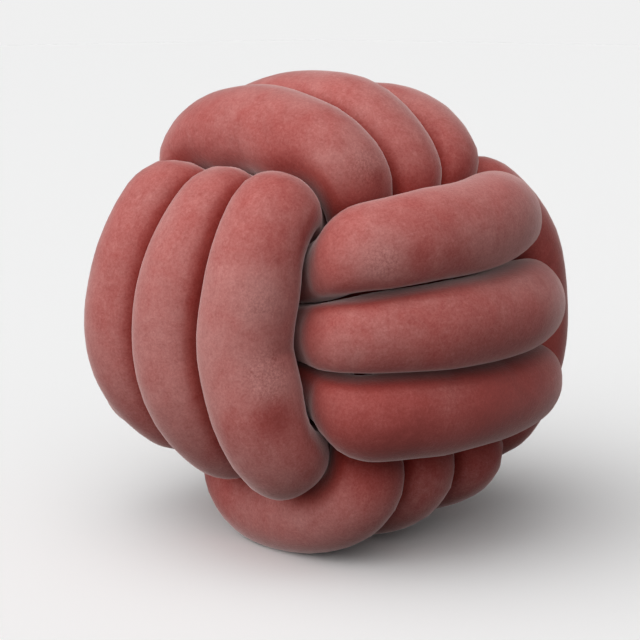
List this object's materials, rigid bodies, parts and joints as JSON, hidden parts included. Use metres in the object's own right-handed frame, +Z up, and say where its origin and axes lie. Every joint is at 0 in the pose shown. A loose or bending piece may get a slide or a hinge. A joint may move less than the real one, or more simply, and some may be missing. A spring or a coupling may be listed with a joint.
{
  "type": "round knotted cushion",
  "caption": "Round cushion tied from one long stuffed velvet tube: parallel plump strands cross each face of the ball and dive under the strands of the next face.",
  "frame": {"origin": "centre of the bounding box on the floor that the cushion rests on", "axes": "+Z up; the strands of the +X face run along Y, those of the Y faces along Z and those of the Z faces along X"},
  "size_m": [0.299, 0.3096, 0.2855],
  "materials": {
    "velvet": "soft brushed pile"
  },
  "bodies": {
    "root": {"knot_tube": "velvet"}
  },
  "joints": []
}
